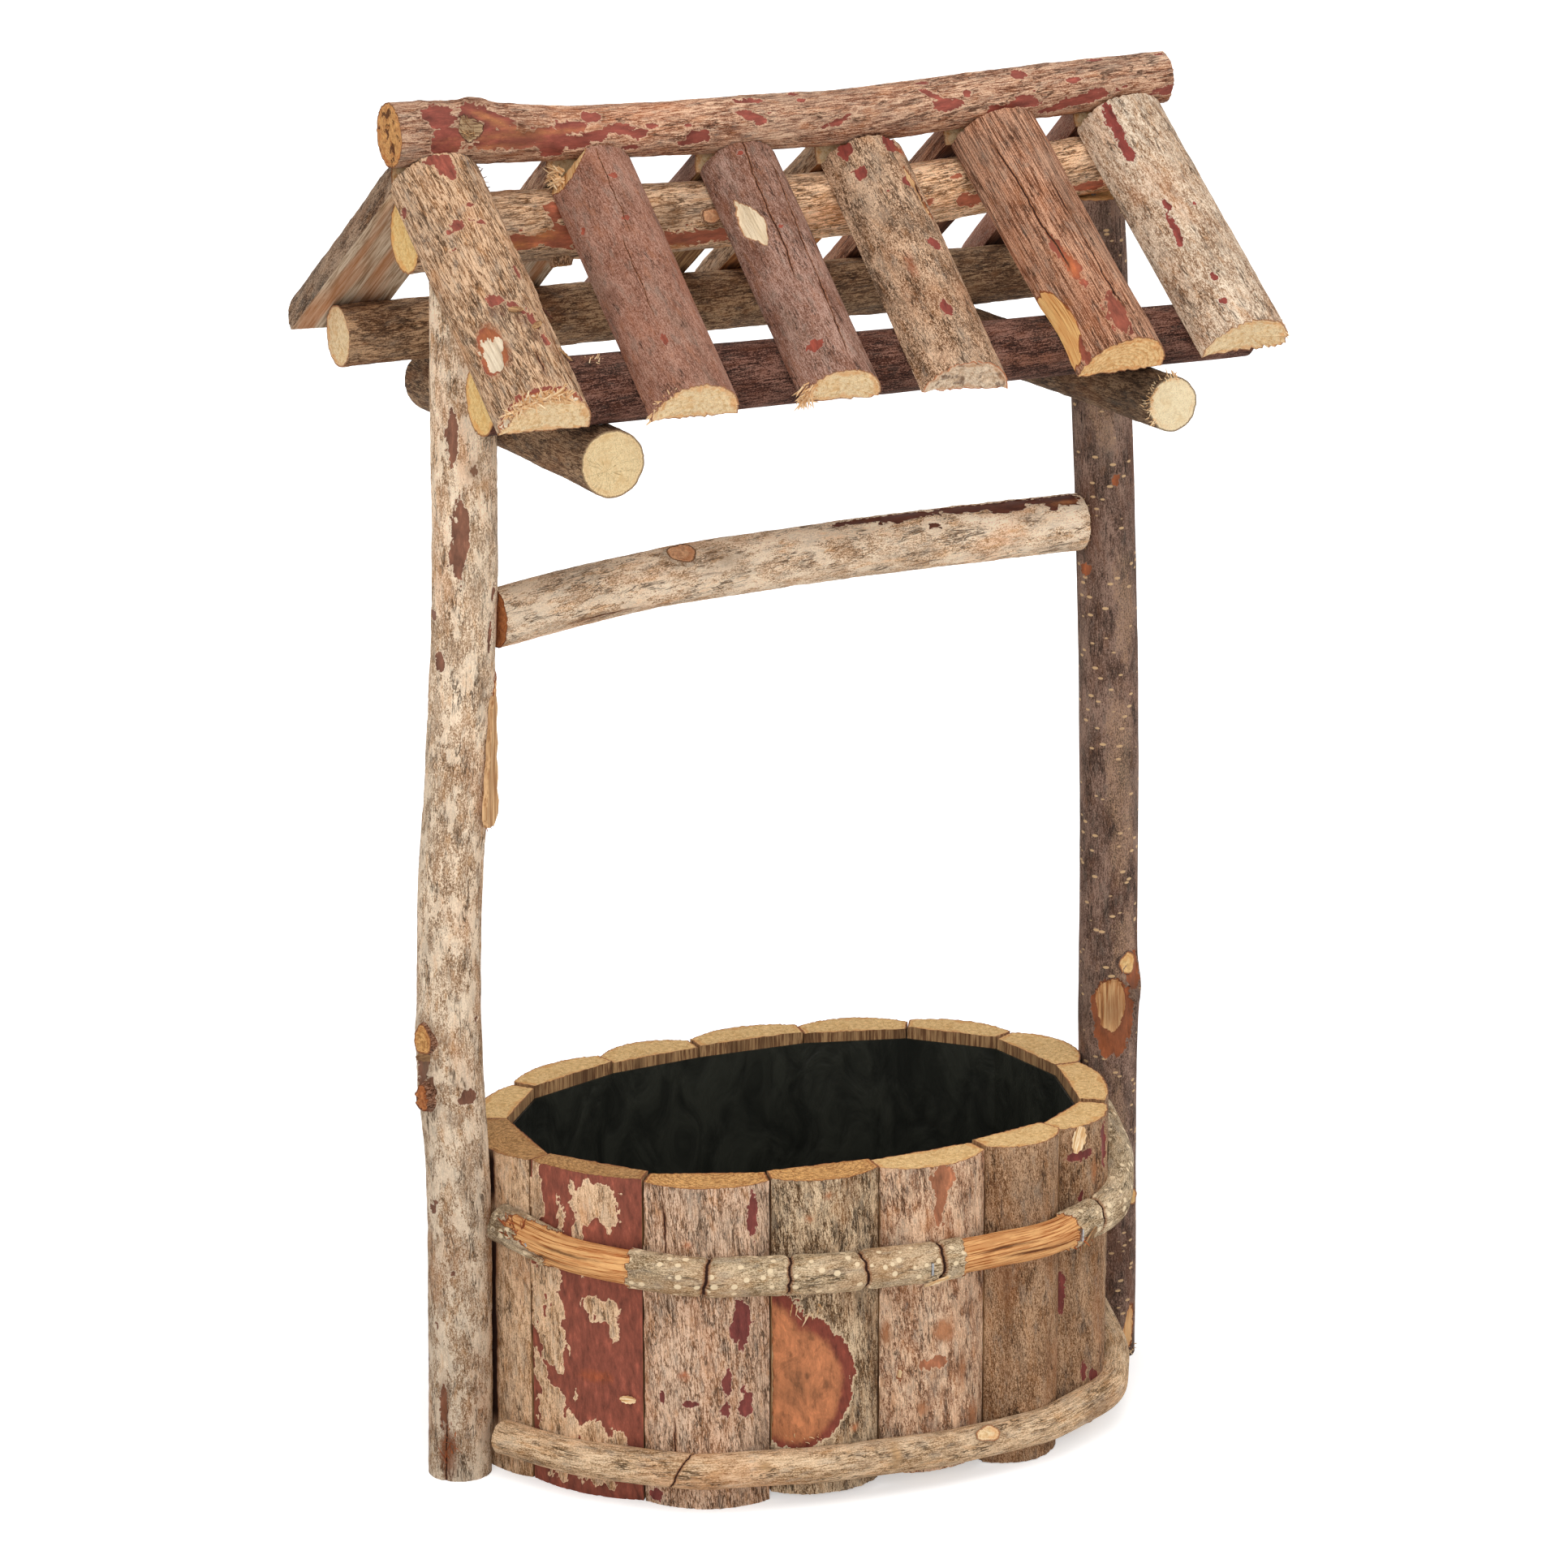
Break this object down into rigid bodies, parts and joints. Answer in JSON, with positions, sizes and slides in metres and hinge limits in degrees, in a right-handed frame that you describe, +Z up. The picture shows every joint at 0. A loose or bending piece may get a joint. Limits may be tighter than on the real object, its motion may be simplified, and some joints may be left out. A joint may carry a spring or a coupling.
{
  "type": "wishing well planter",
  "caption": "Rustic wishing well planter: oval trough of split log staves between two log posts that carry an open slatted gable roof.",
  "frame": {"origin": "on the ground midway between the two posts", "axes": "+Z up; X along the roof ridge from the left post (-X) to the right post (+X); the front faces -Y"},
  "size_m": [0.3735, 0.2419, 0.604],
  "materials": {
    "grey_bark": "mottled pale grey-brown bark, matt",
    "dark_bark": "dark grey-brown bark with pale dots, matt",
    "maroon_bark": "smooth maroon-brown young bark, low sheen",
    "tan_bark": "tan fissured bark, matt",
    "pale_bark": "pale grey-tan mottled bark, matt",
    "olive_bark": "olive-grey bark of a split branch, matt",
    "sawn_board": "plain sawn wood",
    "dark_film": "thin dark film",
    "grey_wire": "bright drawn wire"
  },
  "bodies": {
    "root": {"left_post": "grey_bark", "right_post": "dark_bark", "winch_bar": "grey_bark", "centre_beam": "tan_bark", "left_cross_beam": "dark_bark", "right_cross_beam": "dark_bark", "front_purlin": "maroon_bark", "back_purlin": "dark_bark", "ridge_log": "tan_bark", "front_slat_1": "tan_bark", "front_slat_2": "maroon_bark", "front_slat_3": "maroon_bark", "front_slat_4": "pale_bark", "front_slat_5": "maroon_bark", "front_slat_6": "pale_bark", "back_slat_1": "pale_bark", "back_slat_2": "tan_bark", "back_slat_3": "maroon_bark", "back_slat_4": "pale_bark", "back_slat_5": "tan_bark", "back_slat_6": "maroon_bark", "upper_hoop_front": "olive_bark", "upper_hoop_back": "olive_bark", "lower_hoop_front": "dark_bark", "lower_hoop_back": "dark_bark", "base_board": "sawn_board", "planting_film": "dark_film", "frame_brads": "grey_wire", "roof_brads": "grey_wire", "trough_brads": "grey_wire", "hoop_brads": "grey_wire", "hoop_staples": "grey_wire", "stave_01": "pale_bark", "stave_02": "maroon_bark", "stave_03": "grey_bark", "stave_04": "dark_bark", "stave_05": "tan_bark", "stave_06": "olive_bark", "stave_07": "grey_bark", "stave_08": "tan_bark", "stave_09": "dark_bark", "stave_10": "pale_bark", "stave_11": "maroon_bark", "stave_12": "tan_bark", "stave_13": "grey_bark", "stave_14": "maroon_bark", "stave_15": "pale_bark"}
  },
  "joints": []
}
